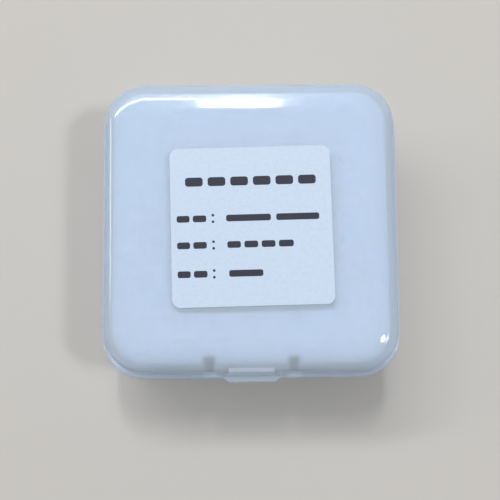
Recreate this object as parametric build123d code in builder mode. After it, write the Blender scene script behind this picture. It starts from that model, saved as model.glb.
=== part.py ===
from build123d import *
import os
from math import radians, sqrt, tan

# A square hinged case for one lens, in millimetres. X is the width, Y runs from the latch at the
# front to the hinge at the rear, and Z is up. The origin is the centre of the base's underside.

# Shells
case_side = 55.0
corner_radius = 7.75
wall = 1.2
draft = 2.5
base_height = 12.5
lid_height = 7.5
shoulder_reach = 6.0
shoulder_drop = 2.2
foot_radius = 3.0
parting_gap = 0.1

# Bead round both rims
bead_reach = 0.6
bead_height = 1.0
bead_round = 0.3

# Lip on the base that laps into the lid along the front and the sides
lip_height = 1.0
lip_thickness = 0.55
lip_clearance = 0.1
lip_end_y = 18.0

# Thumb tab on the lid, the boss above it and the nail notch in the base below it
tab_reach = 0.8
tab_width = 11.4
tab_front_width = 8.7
tab_corner_setback = 0.2
boss_height = 5.2
boss_top_width = 8.4
boss_setback = 0.2
boss_lean = 0.37
boss_round = 0.25
nail_notch_width = 15.0
nail_notch_depth = 0.2

# Snap tongue on the base
tongue_width = 6.1
tongue_thickness = 1.0
tongue_gap = 0.2
tongue_rise = 3.1
tongue_root = 2.9
tongue_lead = 0.35
catch_reach = 0.45
catch_drop = 0.7
catch_clearance = 0.15

# Ribs inside the lid, either side of the latch
rib_spacing = 15.6
rib_depth = 1.7
rib_foot_width = 1.15
rib_top_width = 1.9

# Hinge: lugs with stub pins on the lid, in a bay of the base between two knuckles
hinge_drop = 2.8
knuckle_radius = 1.2
pin_radius = 0.6
pin_clearance = 0.07
pin_length = 1.5
socket_depth = 1.7
knuckle_width = 2.2
lug_width = 4.2
lug_clearance = 0.3
bay_width = 24.0
bay_floor_gap = 0.5
relief_clearance = 0.2

# Lens
lens_diameter = 20.0
lens_thickness = 4.5
focal_length = 150.0
lens_index = 1.4496
lens_bevel = 0.2

# Foam layers
foam_clearance = 0.3
foam_rim_drop = 0.3
pocket_foam_height = 4.0
pocket_clearance = 0.3
lens_cover_gap = 0.3

# Paper label
label_side = 30.0
label_corner = 1.5
label_thickness = 0.1
label_x = 0.25
label_y = -0.4
label_turn = 1.1

# Gate mark under the base
gate_mark_radius = 1.5
gate_mark_depth = 0.25
gate_mark_y = 12.0

# Places that follow from the sizes above
slope = tan(radians(draft))
half_side = case_side / 2
half_inner = half_side - wall
half_bead = half_side + bead_reach
inner_corner = corner_radius - wall
bead_corner = corner_radius + bead_reach
case_height = base_height + lid_height
lid_bottom = base_height + parting_gap
lid_ceiling = case_height - wall
lip_top = base_height + lip_height
rebate_top = lip_top + lip_clearance

hinge_y = half_side - wall / 2
hinge_z = base_height - hinge_drop
half_bay = bay_width / 2
bay_back = hinge_y - knuckle_radius - lug_clearance
bay_floor = hinge_z - knuckle_radius - bay_floor_gap
lug_outer = half_bay - lug_clearance
relief_radius = hinge_drop + parting_gap - relief_clearance

tongue_outer_y = -(half_inner - tongue_gap)
tongue_inner_y = tongue_outer_y + tongue_thickness
tongue_top = base_height + tongue_rise
catch_z = tongue_top - catch_drop
catch_y = tongue_outer_y - catch_reach

lens_radius = lens_diameter / 2
lens_z = base_height - foam_rim_drop - pocket_foam_height
lens_curve = (lens_index - 1) * focal_length
lid_foam_bottom = lens_z + lens_thickness + lens_cover_gap


def drafted_block(plane, half, corner, height, edge_round):
    """A rounded square block that narrows away from its plane and ends in a rounded edge."""
    with BuildPart() as block:
        with BuildSketch(plane):
            RectangleRounded(2 * half, 2 * half, corner)
        extrude(amount=height, taper=draft)
        far_face = block.faces().sort_by_distance(plane.offset(height).origin)[0]
        # The rounding stays smaller than the corner and the height it has to fit
        room = min(corner - height * slope, height) - wall / 4
        fillet(far_face.edges(), min(edge_round, room))
    return block.part


def crowned_block(plane, half, corner, height, reach, drop):
    """A drafted rounded square block whose far edge falls off in a quarter ellipse."""
    side_height = height - drop
    crown_half = half - side_height * slope
    crown_corner = corner - side_height * slope
    crown_plane = plane.offset(side_height)
    with BuildSketch(crown_plane) as outline:
        RectangleRounded(2 * crown_half, 2 * crown_half, crown_corner)
    path = outline.sketch.face().outer_wire()
    inward = plane.z_dir.cross(path % 0)
    with BuildPart() as block:
        with BuildSketch(plane):
            RectangleRounded(2 * half, 2 * half, corner)
        extrude(amount=side_height, taper=draft)
        with BuildSketch(crown_plane):
            RectangleRounded(2 * (crown_half - reach), 2 * (crown_half - reach), crown_corner - reach)
        extrude(amount=drop)
        with BuildSketch(Plane(origin=path @ 0, x_dir=inward, z_dir=path % 0)):
            with BuildLine():
                Polyline((0, 0), (reach, 0), (reach, drop))
                EllipticalCenterArc((reach, 0), reach, drop, start_angle=90, arc_size=90)
            make_face()
        sweep(path=path)
    return block.part


def rounded_plate(bottom, top, half, corner):
    """A straight rounded square plate."""
    with BuildPart() as plate:
        with BuildSketch(Plane.XY.offset(bottom)):
            RectangleRounded(2 * half, 2 * half, corner)
        extrude(amount=top - bottom)
    return plate.part


def side_profile(points, x_from, x_to):
    """A bar along X whose section is a closed outline of (y, z) points."""
    with BuildPart() as bar:
        with BuildSketch(Plane.YZ.offset(x_from)):
            with BuildLine():
                Polyline(*points, close=True)
            make_face()
        extrude(amount=x_to - x_from)
    return bar.part


def hinge_rod(radius, x_from, x_to):
    """A round bar along the hinge axis."""
    with BuildPart() as rod:
        with BuildSketch(Plane.YZ.offset(x_from)):
            with Locations((hinge_y, hinge_z)):
                Circle(radius)
        extrude(amount=x_to - x_from)
    return rod.part


def block(x_size, y_from, y_to, z_from, z_to):
    """A plain block centred on X, from one corner height and depth to the other."""
    outline = [(y_from, z_from), (y_to, z_from), (y_to, z_to), (y_from, z_to)]
    return side_profile(outline, -x_size / 2, x_size / 2)


# Base shell: walls, bead and lip
rim_down = Plane(origin=(0, 0, base_height), x_dir=(1, 0, 0), z_dir=(0, 0, -1))
base_walls = drafted_block(rim_down, half_side, corner_radius, base_height, foot_radius)
base_hollow = drafted_block(rim_down, half_inner, inner_corner, base_height - wall, foot_radius - wall)
base_bead = drafted_block(rim_down, half_bead, bead_corner, bead_height, bead_round)
lip_block = rounded_plate(
    base_height - bead_height, lip_top, half_inner + lip_thickness, inner_corner + lip_thickness
)
lip_hollow = rounded_plate(base_height, lip_top, half_inner, inner_corner)

# The lid's rear edge swings over the base's rear rim, so that rim is rounded about the hinge axis
with BuildPart() as rear_relief:
    with BuildSketch(Plane.YZ.offset(-half_bead)):
        with Locations((hinge_y, hinge_z)):
            Rectangle(relief_radius + bead_reach, relief_radius + bead_reach, align=(Align.MIN, Align.MIN))
            Circle(relief_radius, mode=Mode.SUBTRACT)
    extrude(amount=2 * half_bead)

# Snap tongue with a catch on its outer face, rooted on the front wall
tongue_root_y = -(half_inner + lip_thickness / 2)
tongue_root_z = base_height - tongue_root
snap_tongue = side_profile(
    [
        (tongue_root_y, tongue_root_z),
        (tongue_inner_y, tongue_root_z + tongue_thickness + tongue_gap),
        (tongue_inner_y, tongue_top),
        (tongue_outer_y + tongue_lead, tongue_top),
        (catch_y, catch_z),
        (tongue_outer_y, catch_z - catch_reach),
        (tongue_outer_y, lip_top),
        (tongue_root_y, lip_top),
    ],
    -tongue_width / 2,
    tongue_width / 2,
)

with BuildPart() as case_base:
    add(base_walls)
    add(base_bead)
    add(lip_block)
    add(base_hollow, mode=Mode.SUBTRACT)
    add(lip_hollow, mode=Mode.SUBTRACT)
    add(block(2 * half_side, lip_end_y, half_bead, base_height, lip_top), mode=Mode.SUBTRACT)
    add(snap_tongue)
    add(rear_relief.part, mode=Mode.SUBTRACT)
    # Nail notch below the thumb tab
    notch_y = -(half_side - nail_notch_depth)
    notch_bottom = base_height - bead_height
    add(block(nail_notch_width, -half_bead, notch_y, notch_bottom, base_height), mode=Mode.SUBTRACT)
    # Hinge bay with its own back, sides and floor
    add(block(bay_width + 2 * wall, bay_back - wall, hinge_y, bay_floor - wall, base_height))
    add(block(bay_width, bay_back, half_bead, bay_floor, lip_top), mode=Mode.SUBTRACT)
    # Knuckles with blind sockets for the pins
    for side in (-1, 1):
        bay_end = side * half_bay
        add(hinge_rod(knuckle_radius, bay_end, bay_end + side * knuckle_width))
        add(
            hinge_rod(pin_radius + pin_clearance, bay_end, bay_end + side * socket_depth),
            mode=Mode.SUBTRACT,
        )
    # Gate mark
    with BuildSketch(Plane.XY):
        with Locations((0, gate_mark_y)):
            Circle(gate_mark_radius)
    extrude(amount=gate_mark_depth, mode=Mode.SUBTRACT)

# Lid shell: walls, bead and the rebate that takes the base's lip
rim_up = Plane.XY.offset(lid_bottom)
lid_walls = crowned_block(
    rim_up, half_side, corner_radius, case_height - lid_bottom, shoulder_reach, shoulder_drop
)
lid_hollow = crowned_block(
    rim_up, half_inner, inner_corner, lid_ceiling - lid_bottom, shoulder_reach - wall, shoulder_drop - wall
)
lid_bead = drafted_block(rim_up, half_bead, bead_corner, bead_height, bead_round)
rebate_reach = lip_thickness + lip_clearance
lid_rebate = rounded_plate(
    lid_bottom, rebate_top, half_inner + rebate_reach, inner_corner + rebate_reach
)

# Thumb tab, a ledge with cut corners that carries the bead outward
tab_corner_y = -(half_bead - tab_corner_setback)
with BuildPart() as thumb_tab:
    with BuildSketch(rim_up):
        with BuildLine():
            Polyline(
                (-tab_width / 2, -half_inner),
                (-tab_width / 2, tab_corner_y),
                (-tab_front_width / 2, -half_bead - tab_reach),
                (tab_front_width / 2, -half_bead - tab_reach),
                (tab_width / 2, tab_corner_y),
                (tab_width / 2, -half_inner),
                close=True,
            )
        make_face()
    extrude(amount=bead_height)
    fillet(thumb_tab.faces().sort_by(Axis.Z)[-1].edges(), bead_round)

# Boss above the tab, narrower and leaning back towards its top
boss_foot_z = lid_bottom + bead_height / 2
boss_top_z = lid_bottom + bead_height + boss_height
boss_foot_y = -(half_bead - boss_setback)
with BuildPart() as tab_boss:
    with BuildSketch(Plane.XY.offset(boss_foot_z)):
        with Locations((0, boss_foot_y)):
            Rectangle(tab_width, 2 * wall, align=(Align.CENTER, Align.MIN))
    with BuildSketch(Plane.XY.offset(boss_top_z)):
        with Locations((0, boss_foot_y + boss_lean)):
            Rectangle(boss_top_width, 2 * wall, align=(Align.CENTER, Align.MIN))
    loft(ruled=True)
    fillet(tab_boss.faces().sort_by(Axis.Y)[0].edges(), boss_round)

# One rib, wide at the ceiling and narrow at its foot
rib_y = -(half_inner + lip_thickness)
with BuildPart() as latch_rib:
    with BuildSketch(Plane.XY.offset(rebate_top)):
        with Locations((rib_spacing / 2, rib_y)):
            Rectangle(rib_foot_width, rib_depth + lip_thickness, align=(Align.CENTER, Align.MIN))
    with BuildSketch(Plane.XY.offset(lid_ceiling + wall / 2)):
        with Locations((rib_spacing / 2, rib_y)):
            Rectangle(rib_top_width, rib_depth + lip_thickness, align=(Align.CENTER, Align.MIN))
    loft(ruled=True)
    add(lid_walls, mode=Mode.INTERSECT)

with BuildPart() as case_lid:
    add(lid_walls)
    add(lid_bead)
    add(thumb_tab.part)
    add(tab_boss.part)
    add(lid_hollow, mode=Mode.SUBTRACT)
    add(lid_rebate, mode=Mode.SUBTRACT)
    add(latch_rib.part)
    add(mirror(latch_rib.part, about=Plane.YZ, mode=Mode.PRIVATE))
    # Recess that the tongue's catch snaps into
    recess_bottom = catch_z - catch_reach - catch_clearance
    add(
        block(
            tongue_width + 2 * tongue_gap,
            catch_y - catch_clearance,
            tongue_inner_y,
            recess_bottom,
            tongue_top,
        ),
        mode=Mode.SUBTRACT,
    )
    # Hinge lugs: an arm in line with the rear wall, a round end and a stub pin
    for side in (-1, 1):
        outer = side * lug_outer
        inner = side * (lug_outer - lug_width)
        arm = [(half_inner, hinge_z), (half_side, hinge_z), (half_side, rebate_top), (half_inner, rebate_top)]
        add(side_profile(arm, min(inner, outer), max(inner, outer)))
        add(hinge_rod(knuckle_radius, inner, outer))
        add(hinge_rod(pin_radius, inner, outer + side * pin_length))

# Foam under the lens, cut to the base's inside with a notch for the hinge bay
base_foam_half = half_inner - (base_height - wall) * slope - foam_clearance
base_foam_corner = inner_corner - (base_height - wall) * slope - foam_clearance
bay_notch_y = bay_back - wall - foam_clearance
bay_notch_width = bay_width + 2 * wall + 2 * foam_clearance
bay_notch = block(bay_notch_width, bay_notch_y, half_side, 0, base_height)

# Room for the tongue in the foam above and beside it
tongue_notch = block(
    tongue_width + 2 * foam_clearance,
    -half_side,
    tongue_inner_y + foam_clearance,
    0,
    tongue_top + foam_clearance,
)

with BuildPart() as base_foam:
    add(rounded_plate(wall, lens_z, base_foam_half, base_foam_corner))
    chamfer(base_foam.faces().sort_by(Axis.Z)[0].edges(), foot_radius - wall)
    add(bay_notch, mode=Mode.SUBTRACT)

# Foam round the lens, cut with the same outline and a round pocket
with BuildPart() as pocket_foam:
    add(rounded_plate(lens_z, lens_z + pocket_foam_height, base_foam_half, base_foam_corner))
    add(bay_notch, mode=Mode.SUBTRACT)
    add(tongue_notch, mode=Mode.SUBTRACT)
    with Locations((0, 0, lens_z)):
        Hole(lens_radius + pocket_clearance)

# Foam in the lid, pressed into its shoulders, with room for the tongue and the ribs
lid_foam_drop = (lid_foam_bottom - lid_bottom) * slope
lid_foam_body = crowned_block(
    Plane.XY.offset(lid_foam_bottom),
    half_inner - lid_foam_drop - foam_clearance,
    inner_corner - lid_foam_drop - foam_clearance,
    lid_ceiling - lid_foam_bottom,
    shoulder_reach - wall,
    shoulder_drop - wall + 2 * foam_clearance,
)
with BuildPart() as lid_foam:
    add(lid_foam_body)
    add(tongue_notch, mode=Mode.SUBTRACT)
    with BuildSketch(Plane.XY.offset(lid_foam_bottom)):
        with GridLocations(rib_spacing, 0, 2, 1):
            with Locations((0, -half_side)):
                Rectangle(
                    rib_top_width + 2 * foam_clearance,
                    wall + rib_depth + foam_clearance,
                    align=(Align.CENTER, Align.MIN),
                )
    extrude(amount=lid_ceiling - lid_foam_bottom, mode=Mode.SUBTRACT)


def crown_height(radius):
    """Height of the lens's curved face at a distance from its axis."""
    return lens_z + lens_thickness - lens_curve + sqrt(lens_curve**2 - radius**2)


# Plano-convex lens, flat face down, with a small bevel at both rims
bevel_radius = lens_radius - lens_bevel
with BuildPart() as focusing_lens:
    with BuildSketch(Plane.XZ):
        with BuildLine():
            Polyline(
                (0, lens_z + lens_thickness),
                (0, lens_z),
                (bevel_radius, lens_z),
                (lens_radius, lens_z + lens_bevel),
                (lens_radius, crown_height(bevel_radius) - lens_bevel),
                (bevel_radius, crown_height(bevel_radius)),
            )
            ThreePointArc(
                (bevel_radius, crown_height(bevel_radius)),
                (bevel_radius / 2, crown_height(bevel_radius / 2)),
                (0, crown_height(0)),
            )
        make_face()
    revolve(axis=Axis.Z)

# Paper label on the flat of the lid
with BuildPart() as label:
    with BuildSketch(Plane.XY.offset(case_height)):
        with Locations((label_x, label_y)):
            RectangleRounded(label_side, label_side, label_corner, rotation=label_turn)
    extrude(amount=label_thickness)

# Files
os.makedirs("parts", exist_ok=True)

case_base.part.label = "case_base"
export_step(case_base.part, "parts/case_base.step")

base_foam.part.label = "base_foam"
export_step(base_foam.part, "parts/base_foam.step")

pocket_foam.part.label = "pocket_foam"
export_step(pocket_foam.part, "parts/pocket_foam.step")

focusing_lens.part.label = "focusing_lens"
export_step(focusing_lens.part, "parts/focusing_lens.step")

case_lid.part.label = "case_lid"
export_step(case_lid.part, "parts/case_lid.step")

lid_foam.part.label = "lid_foam"
export_step(lid_foam.part, "parts/lid_foam.step")

label.part.label = "label"
export_step(label.part, "parts/label.step")
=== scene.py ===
from math import cos, pi, radians, sin

import bmesh
import bpy
import numpy as np
from mathutils import Matrix, Vector, noise


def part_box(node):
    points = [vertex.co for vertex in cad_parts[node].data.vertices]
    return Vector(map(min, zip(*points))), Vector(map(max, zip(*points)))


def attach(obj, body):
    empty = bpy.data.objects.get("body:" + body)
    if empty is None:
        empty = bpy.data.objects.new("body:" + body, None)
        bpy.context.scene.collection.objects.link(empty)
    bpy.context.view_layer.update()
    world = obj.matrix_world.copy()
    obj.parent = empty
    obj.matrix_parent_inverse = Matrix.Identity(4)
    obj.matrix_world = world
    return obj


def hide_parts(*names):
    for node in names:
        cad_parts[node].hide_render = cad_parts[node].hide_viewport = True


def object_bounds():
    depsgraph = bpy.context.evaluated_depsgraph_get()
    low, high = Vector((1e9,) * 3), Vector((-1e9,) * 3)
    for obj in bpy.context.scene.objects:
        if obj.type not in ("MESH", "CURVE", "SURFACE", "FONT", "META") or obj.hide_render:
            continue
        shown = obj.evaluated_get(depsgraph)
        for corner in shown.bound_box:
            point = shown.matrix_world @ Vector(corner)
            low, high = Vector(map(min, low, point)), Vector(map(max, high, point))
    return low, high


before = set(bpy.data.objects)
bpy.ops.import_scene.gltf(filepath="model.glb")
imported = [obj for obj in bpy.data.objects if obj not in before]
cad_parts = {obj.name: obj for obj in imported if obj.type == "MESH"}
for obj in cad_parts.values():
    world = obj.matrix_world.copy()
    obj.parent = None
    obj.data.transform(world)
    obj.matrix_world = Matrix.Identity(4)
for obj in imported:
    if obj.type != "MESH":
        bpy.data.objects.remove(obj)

cad_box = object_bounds()
MM = 0.001

# Camera: almost straight above the lid, leaning back towards the front
FRAME_PIXELS = 500
FOCAL_PIXELS = 1280
SENSOR_WIDTH = 36
CAMERA_PITCH = radians(-9.51)
CAMERA_YAW = radians(0.21)
CAMERA_ROLL = radians(0.54)
CAMERA_SHIFT_X = 0.036 * MM
CAMERA_SHIFT_Y = 3.77 * MM
CAMERA_DISTANCE = 244.3 * MM
RIM_HEIGHT = 13.2 * MM

# Colours, as linear red, green and blue
PLASTIC = (0.665, 0.745, 0.84, 1)
FOAM_PALE = (0.52, 0.63, 0.77, 1)
# Painted shade: this dark foam colour stands in for the shade inside the foam's cells
FOAM_PAINTED_CELL_SHADE = (0.22, 0.30, 0.43, 1)
FOAM_SPECK = (0.78, 0.90, 1.0, 1)
PAPER = (0.66, 0.78, 0.95, 1)
PAPER_FIBRE = (0.62, 0.745, 0.925, 1)
INK = (0.008, 0.010, 0.028, 1)
INK_THIN = (0.02, 0.024, 0.05, 1)
GLASS = (0.97, 0.99, 1.0, 1)
FLOOR = (0.66, 0.635, 0.60, 1)
DOME = (0.95, 0.975, 1.0, 1)

# Plastic: the share of light that goes through, its roughness, and what a lamp keeps at each surface
PLASTIC_IOR = 1.49
PLASTIC_CLEARNESS = (0.56, 0.48)
PLASTIC_ROUGHNESS = (0.04, 0.10)
PLASTIC_SHADE = (0.93, 0.95, 0.97, 1)
CLOUD_SCALE = 90
RIPPLE_SCALE = 160
RIPPLE_STRENGTH = 0.10
RIPPLE_DISTANCE = 0.2 * MM

# Glass: the polished faces and the ground rim
GLASS_IOR = 1.45
GLASS_SHADE = (0.95, 0.97, 0.98, 1)
RIM_WIDTH = 0.15 * MM
RIM_CLEARNESS = 0.5
RIM_ROUGHNESS = (0.4, 0.7)
GRIND_SCALE = 9000

# Foam: its colour, whose dark end is painted shade in the cells, and bump, then its modelled surface and
# how far that is lowered
FOAM_TONE_AND_SHADE_STOPS = [(0.30, FOAM_PAINTED_CELL_SHADE), (0.52, FOAM_PALE), (0.80, FOAM_SPECK)]
CELL_SCALE = 2600
CELL_BUMP_SCALE = 5200
CELL_BUMP_STRENGTH = 0.5
CELL_BUMP_DISTANCE = 0.12 * MM
FOAM_ROUGHNESS = 0.85
FOAM_GLOSS = 0.2
FOAM_VOXEL = 0.32 * MM
FOAM_GRAIN = 0.07 * MM
GRAIN_SCALE = 2300
GRAIN_DROP = 0.6
FOAM_SWELL = 0.10 * MM
SWELL_SCALE = 140
SWELL_DROP = 0.8
NOISE_DRIFT = (3.7, 1.9, 5.3)

# Paper and ink
PAPER_STOPS = [(0.35, PAPER_FIBRE), (0.65, PAPER)]
FIBRE_SCALE = 1400
FIBRE_STRENGTH = 0.15
FIBRE_DISTANCE = 0.05 * MM
PAPER_ROUGHNESS = (0.42, 0.58)
INK_STOPS = [(0.35, INK), (0.75, INK_THIN)]
MOTTLE_SCALE = 2200
INK_ROUGHNESS = (0.45, 0.65)

# Print on the label: each row's height above the label's centre and its marks' thickness, in millimetres
PRINT_THICKNESS = 0.012
MARK_ROUNDING = 0.32
HEADING_MARKS = 6
HEADING_START = -12.2
HEADING_STEP = 4.22
HEADING_MARK = 3.3
HEADING = {"v": 8.55, "thick": 1.7}
FIELD_NAMES = [(-13.9, -11.5), (-10.9, -8.4)]
COLON_U = -7.15
COLON_V = 0.62
COLON_RADIUS = 0.25
COLON_ROUNDING = 0.49
ROWS = [
    {"v": 1.55, "thick": 1.25, "marks": [(-4.7, 3.6), (4.6, 12.6)]},
    {"v": -3.45, "thick": 1.25, "marks": [(-4.6, -2.1), (-1.45, 1.1), (1.75, 4.3), (4.95, 7.7)]},
    {"v": -8.85, "thick": 1.25, "marks": [(-4.4, 1.9)]},
]
LABEL_TURN = radians(1.1)

# Floor
FLOOR_HALF = 1.5
FLOOR_ROUGHNESS = 0.9
FLOOR_GLOSS = 0.1

# The dome's strength as a light, and as the camera, gloss and glass see it
DOME_LIGHT = 0.34
DOME_SEEN = 0.62

# Lamps: their two ends as azimuth and elevation in degrees, then distance and width in metres
LAMPS = [
    {"name": "rear_lamp", "ends": [(90.2, 53), (90.8, 66)], "distance": 1.0, "width": 0.06, "glow": 50},
    {"name": "rear_strip", "ends": [(94, 50), (150, 38)], "distance": 1.0, "width": 0.08, "glow": 14},
    {"name": "right_lamp", "ends": [(-6, 56), (-14, 60)], "distance": 1.0, "width": 0.10, "glow": 62},
    {"name": "left_fill", "ends": [(158, 22), (172, 34)], "distance": 1.2, "width": 0.10, "glow": 7},
]


def new_material(name):
    """A node material with nothing in it but its output."""
    material = bpy.data.materials.new(name)
    material.use_nodes = True
    nodes = material.node_tree.nodes
    nodes.clear()
    output = nodes.new("ShaderNodeOutputMaterial")
    return material, nodes, material.node_tree.links, output


def object_noise(nodes, links, scale, detail=3.0, roughness=0.5):
    """A noise texture fixed to the object, its scale in cells to the metre."""
    place = nodes.new("ShaderNodeTexCoord")
    texture = nodes.new("ShaderNodeTexNoise")
    texture.inputs["Scale"].default_value = scale
    texture.inputs["Detail"].default_value = detail
    texture.inputs["Roughness"].default_value = roughness
    links.new(place.outputs["Object"], texture.inputs["Vector"])
    return texture.outputs["Fac"]


def ramp(nodes, links, value, stops):
    """A colour ramp over a value, its stops given as (place, colour)."""
    node = nodes.new("ShaderNodeValToRGB")
    elements = node.color_ramp.elements
    elements[0].position, elements[0].color = stops[0]
    elements[1].position, elements[1].color = stops[-1]
    for place, colour in stops[1:-1]:
        elements.new(place).color = colour
    links.new(value, node.inputs["Fac"])
    return node.outputs["Color"]


def spread(nodes, links, value, low, high):
    """Maps a value from 0..1 to low..high."""
    node = nodes.new("ShaderNodeMapRange")
    node.inputs["To Min"].default_value = low
    node.inputs["To Max"].default_value = high
    links.new(value, node.inputs["Value"])
    return node.outputs["Result"]


def bump(nodes, links, height, strength, distance):
    """A bump from a height value."""
    node = nodes.new("ShaderNodeBump")
    node.inputs["Strength"].default_value = strength
    node.inputs["Distance"].default_value = distance
    links.new(height, node.inputs["Height"])
    return node.outputs["Normal"]


def lamps_pass(nodes, links, output, shader, tint):
    """Ends a clear material: lamps shine through it, dimmed by a tint at each surface."""
    path = nodes.new("ShaderNodeLightPath")
    open_way = nodes.new("ShaderNodeBsdfTransparent")
    open_way.inputs["Color"].default_value = tint
    mix = nodes.new("ShaderNodeMixShader")
    links.new(path.outputs["Is Shadow Ray"], mix.inputs["Fac"])
    links.new(shader, mix.inputs[1])
    links.new(open_way.outputs["BSDF"], mix.inputs[2])
    links.new(mix.outputs["Shader"], output.inputs["Surface"])


def plastic_material():
    """Milky polypropylene: part of the light goes through it, part is scattered at its surfaces."""
    material, nodes, links, output = new_material("milky_plastic")
    shell = nodes.new("ShaderNodeBsdfPrincipled")
    shell.inputs["Base Color"].default_value = PLASTIC
    shell.inputs["IOR"].default_value = PLASTIC_IOR
    cloud = object_noise(nodes, links, CLOUD_SCALE, detail=4.0)
    links.new(spread(nodes, links, cloud, *PLASTIC_CLEARNESS), shell.inputs["Transmission Weight"])
    links.new(spread(nodes, links, cloud, *PLASTIC_ROUGHNESS), shell.inputs["Roughness"])
    ripple = object_noise(nodes, links, RIPPLE_SCALE, detail=2.0)
    links.new(bump(nodes, links, ripple, RIPPLE_STRENGTH, RIPPLE_DISTANCE), shell.inputs["Normal"])
    lamps_pass(nodes, links, output, shell.outputs["BSDF"], PLASTIC_SHADE)
    return material


def foam_material():
    """White closed-cell foam with fine cells whose darker spots are painted shade, and a few pale
    specks.
    """
    material, nodes, links, output = new_material("cell_foam")
    body = nodes.new("ShaderNodeBsdfPrincipled")
    cell_tone_and_shade = object_noise(nodes, links, CELL_SCALE, detail=2.0, roughness=0.7)
    # The ramp's dark end is painted shade in the cells; the pale end and the specks are the foam's own
    # colour
    links.new(ramp(nodes, links, cell_tone_and_shade, FOAM_TONE_AND_SHADE_STOPS), body.inputs["Base Color"])
    body.inputs["Roughness"].default_value = FOAM_ROUGHNESS
    body.inputs["Specular IOR Level"].default_value = FOAM_GLOSS
    fine = object_noise(nodes, links, CELL_BUMP_SCALE, detail=2.0, roughness=0.6)
    links.new(bump(nodes, links, fine, CELL_BUMP_STRENGTH, CELL_BUMP_DISTANCE), body.inputs["Normal"])
    links.new(body.outputs["BSDF"], output.inputs["Surface"])
    return material


def paper_material():
    """Smooth coated paper with a trace of fibre."""
    material, nodes, links, output = new_material("label_paper")
    body = nodes.new("ShaderNodeBsdfPrincipled")
    fibre = object_noise(nodes, links, FIBRE_SCALE, detail=4.0)
    links.new(ramp(nodes, links, fibre, PAPER_STOPS), body.inputs["Base Color"])
    links.new(spread(nodes, links, fibre, *PAPER_ROUGHNESS), body.inputs["Roughness"])
    links.new(bump(nodes, links, fibre, FIBRE_STRENGTH, FIBRE_DISTANCE), body.inputs["Normal"])
    links.new(body.outputs["BSDF"], output.inputs["Surface"])
    return material


def ink_material():
    """Thermal print: near black with a thin, slightly mottled cover."""
    material, nodes, links, output = new_material("print_ink")
    body = nodes.new("ShaderNodeBsdfPrincipled")
    mottle = object_noise(nodes, links, MOTTLE_SCALE)
    links.new(ramp(nodes, links, mottle, INK_STOPS), body.inputs["Base Color"])
    links.new(spread(nodes, links, mottle, *INK_ROUGHNESS), body.inputs["Roughness"])
    links.new(body.outputs["BSDF"], output.inputs["Surface"])
    return material


def near_rim(nodes, links, start):
    """One where the surface lies further than start from the object's upright axis, else nought."""
    place = nodes.new("ShaderNodeTexCoord")
    flat = nodes.new("ShaderNodeVectorMath")
    flat.operation = "MULTIPLY"
    flat.inputs[1].default_value = (1, 1, 0)
    radius = nodes.new("ShaderNodeVectorMath")
    radius.operation = "LENGTH"
    edge = nodes.new("ShaderNodeMath")
    edge.operation = "GREATER_THAN"
    edge.inputs[1].default_value = start
    links.new(place.outputs["Object"], flat.inputs[0])
    links.new(flat.outputs["Vector"], radius.inputs[0])
    links.new(radius.outputs["Value"], edge.inputs[0])
    return edge.outputs["Value"]


def glass_material():
    """Polished optical glass with a ground rim."""
    material, nodes, links, output = new_material("lens_glass")
    clear = nodes.new("ShaderNodeBsdfGlass")
    clear.inputs["Color"].default_value = GLASS
    clear.inputs["IOR"].default_value = GLASS_IOR
    clear.inputs["Roughness"].default_value = 0.0
    ground = nodes.new("ShaderNodeBsdfPrincipled")
    ground.inputs["Transmission Weight"].default_value = RIM_CLEARNESS
    grind = object_noise(nodes, links, GRIND_SCALE, detail=2.0)
    links.new(spread(nodes, links, grind, *RIM_ROUGHNESS), ground.inputs["Roughness"])
    low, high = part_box("focusing_lens")
    mix = nodes.new("ShaderNodeMixShader")
    links.new(near_rim(nodes, links, (high[0] - low[0]) / 2 - RIM_WIDTH), mix.inputs["Fac"])
    links.new(clear.outputs["BSDF"], mix.inputs[1])
    links.new(ground.outputs["BSDF"], mix.inputs[2])
    lamps_pass(nodes, links, output, mix.outputs["Shader"], GLASS_SHADE)
    return material


def floor_material():
    """A pale, matt studio floor."""
    material, nodes, links, output = new_material("studio_floor")
    body = nodes.new("ShaderNodeBsdfPrincipled")
    body.inputs["Base Color"].default_value = FLOOR
    body.inputs["Roughness"].default_value = FLOOR_ROUGHNESS
    body.inputs["Specular IOR Level"].default_value = FLOOR_GLOSS
    links.new(body.outputs["BSDF"], output.inputs["Surface"])
    return material


def dress(node, material):
    """Gives a carried-over CAD node its material."""
    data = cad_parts[node].data
    data.materials.clear()
    data.materials.append(material)


def add_to_scene(thing):
    """Links an object into the scene."""
    bpy.context.scene.collection.objects.link(thing)


def vertex_values(collection, attribute):
    """One vector per vertex, read from a mesh's vertices or vertex normals."""
    values = np.empty(3 * len(collection), dtype=np.float32)
    collection.foreach_get(attribute, values)
    return values.reshape(-1, 3)


def foam_piece(node, body, seed, material):
    """A foam layer of its CAD node's form, with an open grain modelled into its skin."""
    piece = bpy.data.objects.new(node + "_layer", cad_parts[node].data.copy())
    add_to_scene(piece)
    voxels = piece.modifiers.new("voxels", "REMESH")
    voxels.mode = "VOXEL"
    voxels.voxel_size = FOAM_VOXEL
    voxels.use_smooth_shade = True
    bpy.context.view_layer.update()
    skin = bpy.data.meshes.new_from_object(piece.evaluated_get(bpy.context.evaluated_depsgraph_get()))
    piece.modifiers.clear()
    piece.data = skin
    places = vertex_values(skin.vertices, "co")
    normals = vertex_values(skin.vertex_normals, "vector")
    drift = Vector([seed * step for step in NOISE_DRIFT])
    grain = np.array([noise.noise(Vector(p) * GRAIN_SCALE + drift) for p in places])
    swell = np.array([noise.noise(Vector(p) * SWELL_SCALE + drift) for p in places])
    depth = FOAM_GRAIN * (grain - GRAIN_DROP) + FOAM_SWELL * (swell - SWELL_DROP)
    skin.vertices.foreach_set("co", (places + normals * depth[:, None]).astype(np.float32).ravel())
    skin.update()
    skin.materials.clear()
    skin.materials.append(material)
    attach(piece, body)
    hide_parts(node)


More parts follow.
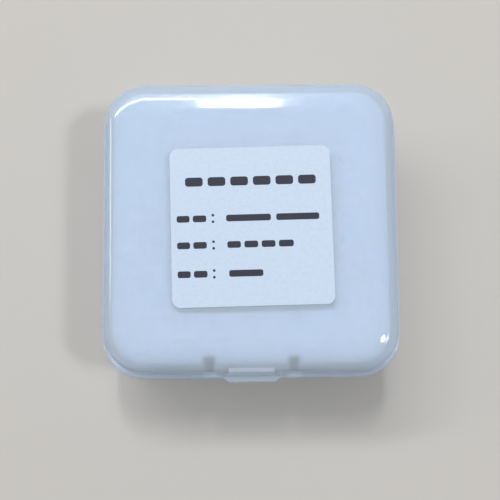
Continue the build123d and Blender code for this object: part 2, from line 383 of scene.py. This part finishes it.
def rounded_outline(width, height, radius, steps=6):
    """The corner points of a rounded bar about its own centre, anticlockwise."""
    points = []
    for quarter, (sx, sy) in enumerate([(1, 1), (-1, 1), (-1, -1), (1, -1)]):
        cx, cy = sx * (width / 2 - radius), sy * (height / 2 - radius)
        for step in range(steps + 1):
            turn = quarter * pi / 2 + step * pi / 2 / steps
            points.append((cx + radius * cos(turn), cy + radius * sin(turn)))
    return points


def add_mark(mesh, middle, size, rounding, place, top):
    """One printed mark: a thin rounded bar on the label, its sizes in millimetres."""
    lower, upper = [], []
    for x, y in rounded_outline(size[0], size[1], rounding * size[1]):
        at = place @ Vector(((middle[0] + x) * MM, (middle[1] + y) * MM, 0))
        lower.append(mesh.verts.new((at.x, at.y, top - PRINT_THICKNESS * MM)))
        upper.append(mesh.verts.new((at.x, at.y, top + PRINT_THICKNESS * MM)))
    mesh.faces.new(upper)
    mesh.faces.new(lower[::-1])
    for i in range(len(upper)):
        j = (i + 1) % len(upper)
        mesh.faces.new((lower[i], lower[j], upper[j], upper[i]))


def label_print(material):
    """Generic marks in rows: a heading, then three fields with a name, two dots and a value."""
    low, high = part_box("label")
    centre = Vector(((low[0] + high[0]) / 2, (low[1] + high[1]) / 2, 0))
    place = Matrix.Translation(centre) @ Matrix.Rotation(LABEL_TURN, 4, "Z")
    top = high[2]
    mesh = bmesh.new()

    def bar(span, row):
        middle = (sum(span) / 2, row["v"])
        add_mark(mesh, middle, (span[1] - span[0], row["thick"]), MARK_ROUNDING, place, top)

    for i in range(HEADING_MARKS):
        start = HEADING_START + HEADING_STEP * i
        bar((start, start + HEADING_MARK), HEADING)
    for row in ROWS:
        for span in FIELD_NAMES + row["marks"]:
            bar(span, row)
        for side in (-1, 1):
            middle = (COLON_U, row["v"] + side * COLON_V)
            add_mark(mesh, middle, (2 * COLON_RADIUS, 2 * COLON_RADIUS), COLON_ROUNDING, place, top)
    data = bpy.data.meshes.new("label_print")
    mesh.to_mesh(data)
    mesh.free()
    data.materials.append(material)
    piece = bpy.data.objects.new("label_print", data)
    add_to_scene(piece)
    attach(piece, "lid")


def studio_floor():
    """A wide floor under the case."""
    height = cad_box[0][2]
    corners = [(FLOOR_HALF * x, FLOOR_HALF * y, height) for x, y in [(-1, -1), (1, -1), (1, 1), (-1, 1)]]
    data = bpy.data.meshes.new("studio_floor")
    data.from_pydata(corners, [], [(0, 1, 2, 3)])
    data.materials.append(floor_material())
    floor = bpy.data.objects.new("studio_floor", data)
    add_to_scene(floor)


def direction(azimuth, elevation):
    """A unit vector at an azimuth from +X towards +Y and an elevation above the floor, in degrees."""
    a, e = radians(azimuth), radians(elevation)
    return Vector((cos(e) * cos(a), cos(e) * sin(a), sin(e)))


def area_lamp(name, start, end, width, glow):
    """A flat lamp whose long side runs between two points, facing the case. Its glow is its radiance."""
    data = bpy.data.lights.new(name, "AREA")
    data.shape = "RECTANGLE"
    data.size = (end - start).length
    data.size_y = width
    data.energy = glow * pi * data.size * data.size_y
    centre = (start + end) / 2
    long_way = (end - start).normalized()
    facing = (centre - Vector((0, 0, RIM_HEIGHT))).normalized()
    facing = (facing - long_way * facing.dot(long_way)).normalized()
    side = facing.cross(long_way)
    turn = Matrix((long_way, side, facing)).transposed().to_4x4()
    lamp = bpy.data.objects.new(name, data)
    lamp.matrix_world = Matrix.Translation(centre) @ turn
    add_to_scene(lamp)


def studio_dome():
    """A soft pale dome, which shows brighter to the camera and in gloss and glass than it lights."""
    world = bpy.data.worlds.new("studio_dome")
    bpy.context.scene.world = world
    world.use_nodes = True
    nodes, links = world.node_tree.nodes, world.node_tree.links
    back = nodes["Background"]
    back.inputs["Color"].default_value = DOME
    path = nodes.new("ShaderNodeLightPath")
    seen = path.outputs["Is Camera Ray"]
    for ray in ("Is Glossy Ray", "Is Transmission Ray"):
        either = nodes.new("ShaderNodeMath")
        either.operation = "MAXIMUM"
        links.new(seen, either.inputs[0])
        links.new(path.outputs[ray], either.inputs[1])
        seen = either.outputs["Value"]
    links.new(spread(nodes, links, seen, DOME_LIGHT, DOME_SEEN), back.inputs["Strength"])


def light_the_studio():
    """A soft dome and four lamps: at the rear, round the rear left, at the right and low at the left."""
    studio_dome()
    for lamp in LAMPS:
        start, end = [direction(*angles) * lamp["distance"] for angles in lamp["ends"]]
        area_lamp(lamp["name"], start, end, lamp["width"], lamp["glow"])


def set_camera():
    """The camera at the photograph's place and angle."""
    turn = (
        Matrix.Rotation(CAMERA_PITCH, 3, "X")
        @ Matrix.Rotation(CAMERA_YAW, 3, "Y")
        @ Matrix.Rotation(CAMERA_ROLL, 3, "Z")
    ).transposed()
    rim_centre = Vector((0, 0, RIM_HEIGHT))
    place = turn @ Vector((-CAMERA_SHIFT_X, -CAMERA_SHIFT_Y, CAMERA_DISTANCE)) + rim_centre
    data = bpy.data.cameras.new("camera")
    data.sensor_width = SENSOR_WIDTH
    data.lens = SENSOR_WIDTH * FOCAL_PIXELS / FRAME_PIXELS
    camera = bpy.data.objects.new("camera", data)
    camera.matrix_world = Matrix.Translation(place) @ turn.to_4x4()
    add_to_scene(camera)
    bpy.context.scene.camera = camera


plastic = plastic_material()
dress("case_base", plastic)
dress("case_lid", plastic)
dress("focusing_lens", glass_material())
dress("label", paper_material())

foam = foam_material()
foam_piece("base_foam", "base", 1, foam)
foam_piece("pocket_foam", "base", 2, foam)
foam_piece("lid_foam", "lid", 3, foam)
label_print(ink_material())

studio_floor()
light_the_studio()
set_camera()
bpy.context.scene.view_settings.view_transform = "Standard"
